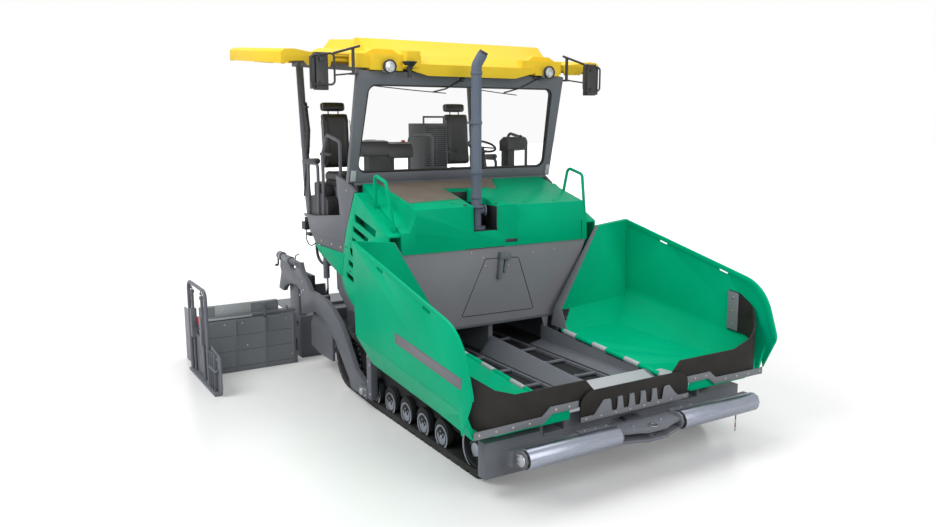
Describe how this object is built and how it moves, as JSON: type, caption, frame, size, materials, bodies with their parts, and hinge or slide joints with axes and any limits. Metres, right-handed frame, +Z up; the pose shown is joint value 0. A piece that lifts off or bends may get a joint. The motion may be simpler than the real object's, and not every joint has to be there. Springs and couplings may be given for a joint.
{
  "type": "tracked asphalt paver",
  "caption": "Tracked asphalt paver with folding receiving hopper, twin conveyors and augers, canopy over the driving station and an extending screed on two tow arms.",
  "frame": {"origin": "on the ground below the centre of the bounding box", "axes": "+Z up, +Y towards the rear (screed), +X to the machine's left; the hopper faces -Y"},
  "size_m": [5.064, 6.025, 3.782],
  "materials": {
    "paint_green": "semi-gloss green machine paint",
    "paint_dark": "satin dark grey machine paint",
    "paint_light": "satin light grey machine paint",
    "roof_yellow": "glossy moulded glass-fibre, yellow",
    "steel": "worn bare steel",
    "rod_chrome": "hard chrome",
    "rubber_flap": "matt black rubber sheet",
    "track_rubber": "dusty black rubber",
    "glass_clear": "clear laminated glass",
    "plastic_black": "grained black plastic",
    "seat_vinyl": "black vinyl upholstery",
    "lamp_lens": "ribbed clear lamp lens",
    "mirror_glass": "silvered mirror",
    "reflector_red": "red reflector plastic"
  },
  "bodies": {
    "tractor": {"apron_clamp": "paint_dark", "apron_rubber": "rubber_flap", "auger_supports": "paint_dark", "canopy_frame": "paint_dark", "canopy_roof": "roof_yellow", "chassis_frame": "paint_dark", "control_console": "plastic_black", "conveyor_covers": "paint_light", "conveyor_floor": "steel", "conveyor_slats": "steel", "engine_block": "paint_dark", "equipment_cabinet": "paint_dark", "exhaust_pipe": "steel", "fenders": "paint_dark", "grab_handles": "paint_green", "handrails": "paint_dark", "headlamps": "lamp_lens", "hood": "paint_green", "hopper_rear_wall": "paint_dark", "lift_brackets": "paint_dark", "mirrors": "plastic_black", "operator_platform": "paint_dark", "operator_seats": "seat_vinyl", "platform_skirts": "paint_dark", "side_panels": "paint_green", "tow_rails": "paint_dark", "track_left": "track_rubber", "track_right": "track_rubber", "undercarriage_left": "paint_dark", "undercarriage_right": "paint_dark", "windscreen_frame": "paint_dark", "windscreen_glass": "glass_clear"},
    "wing_left": {"hopper_wing_left": "paint_green", "wing_rubber_left": "rubber_flap", "wing_clamp_left": "paint_dark"},
    "awning_left": {"awning_left": "roof_yellow"},
    "push_roller_left": {"push_roller_left": "steel"},
    "extension_left": {"screed_extension_left": "paint_dark", "end_gate_left": "paint_dark"},
    "lift_barrel_left": {"lift_barrel_left": "paint_dark"},
    "lift_rod_left": {"lift_rod_left": "rod_chrome"},
    "auger_left": {"auger_left": "steel"},
    "wing_right": {"hopper_wing_right": "paint_green", "wing_rubber_right": "rubber_flap", "wing_clamp_right": "paint_dark"},
    "awning_right": {"awning_right": "roof_yellow"},
    "push_roller_right": {"push_roller_right": "steel"},
    "extension_right": {"screed_extension_right": "paint_dark", "end_gate_right": "paint_dark"},
    "lift_barrel_right": {"lift_barrel_right": "paint_dark"},
    "lift_rod_right": {"lift_rod_right": "rod_chrome"},
    "auger_right": {"auger_right": "steel"},
    "push_beam": {"push_beam": "paint_dark"},
    "screed": {"tow_arms": "paint_dark", "screed_box": "paint_dark", "screed_walkway": "paint_dark"}
  },
  "joints": [
    {"name": "wing_left_fold", "type": "hinge", "parent": "tractor", "child": "wing_left", "pos_m": [0.655, -1.695, 0.635], "axis": [0, -0.9978, -0.0659], "range_deg": [0, 56]},
    {"name": "wing_right_fold", "type": "hinge", "parent": "tractor", "child": "wing_right", "pos_m": [-0.655, -1.695, 0.635], "axis": [0, 0.9978, 0.0659], "range_deg": [0, 56]},
    {"name": "push_beam_swing", "type": "hinge", "parent": "tractor", "child": "push_beam", "pos_m": [0, -2.705, 0.375], "axis": [0, 0, 1], "range_deg": [-3, 3]},
    {"name": "push_roller_left_spin", "type": "hinge", "parent": "push_beam", "child": "push_roller_left", "pos_m": [0.79, -2.92, 0.4], "axis": [1, 0, 0], "continuous": true},
    {"name": "push_roller_right_spin", "type": "hinge", "parent": "push_beam", "child": "push_roller_right", "pos_m": [-0.79, -2.92, 0.4], "axis": [1, 0, 0], "continuous": true},
    {"name": "screed_lift", "type": "hinge", "parent": "tractor", "child": "screed", "pos_m": [0, -0.195, 0.16], "axis": [1, 0, 0], "range_deg": [0, 8]},
    {"name": "extension_left_slide", "type": "slide", "parent": "screed", "child": "extension_left", "axis": [-1, 0, 0], "range_m": [0, 1.15]},
    {"name": "lift_barrel_left_swing", "type": "hinge", "parent": "tractor", "child": "lift_barrel_left", "pos_m": [1.185, 1.025, 1.4], "axis": [1, 0, 0], "range_deg": [-18.6, 0.1]},
    {"name": "lift_rod_left_slide", "type": "slide", "parent": "lift_barrel_left", "child": "lift_rod_left", "axis": [0, 0, 1], "range_m": [0, 0.15]},
    {"name": "auger_left_spin", "type": "hinge", "parent": "tractor", "child": "auger_left", "pos_m": [0.6, 1.365, 0.33], "axis": [1, 0, 0], "continuous": true},
    {"name": "awning_left_slide", "type": "slide", "parent": "tractor", "child": "awning_left", "axis": [-1, 0, 0], "range_m": [0, 0.27]},
    {"name": "extension_right_slide", "type": "slide", "parent": "screed", "child": "extension_right", "axis": [1, 0, 0], "range_m": [0, 1.15]},
    {"name": "lift_barrel_right_swing", "type": "hinge", "parent": "tractor", "child": "lift_barrel_right", "pos_m": [-1.185, 1.025, 1.4], "axis": [1, 0, 0], "range_deg": [-18.6, 0.1]},
    {"name": "lift_rod_right_slide", "type": "slide", "parent": "lift_barrel_right", "child": "lift_rod_right", "axis": [0, 0, 1], "range_m": [0, 0.15]},
    {"name": "auger_right_spin", "type": "hinge", "parent": "tractor", "child": "auger_right", "pos_m": [-0.6, 1.365, 0.33], "axis": [1, 0, 0], "continuous": true},
    {"name": "awning_right_slide", "type": "slide", "parent": "tractor", "child": "awning_right", "axis": [1, 0, 0], "range_m": [0, 0.27]}
  ],
  "couplings": [
    {"joint": "lift_barrel_left_swing", "follows": "screed_lift", "ratio": -2.3},
    {"joint": "lift_rod_left_slide", "follows": "screed_lift", "m_per_rad": 1.05},
    {"joint": "lift_barrel_right_swing", "follows": "screed_lift", "ratio": -2.3},
    {"joint": "lift_rod_right_slide", "follows": "screed_lift", "m_per_rad": 1.05}
  ]
}
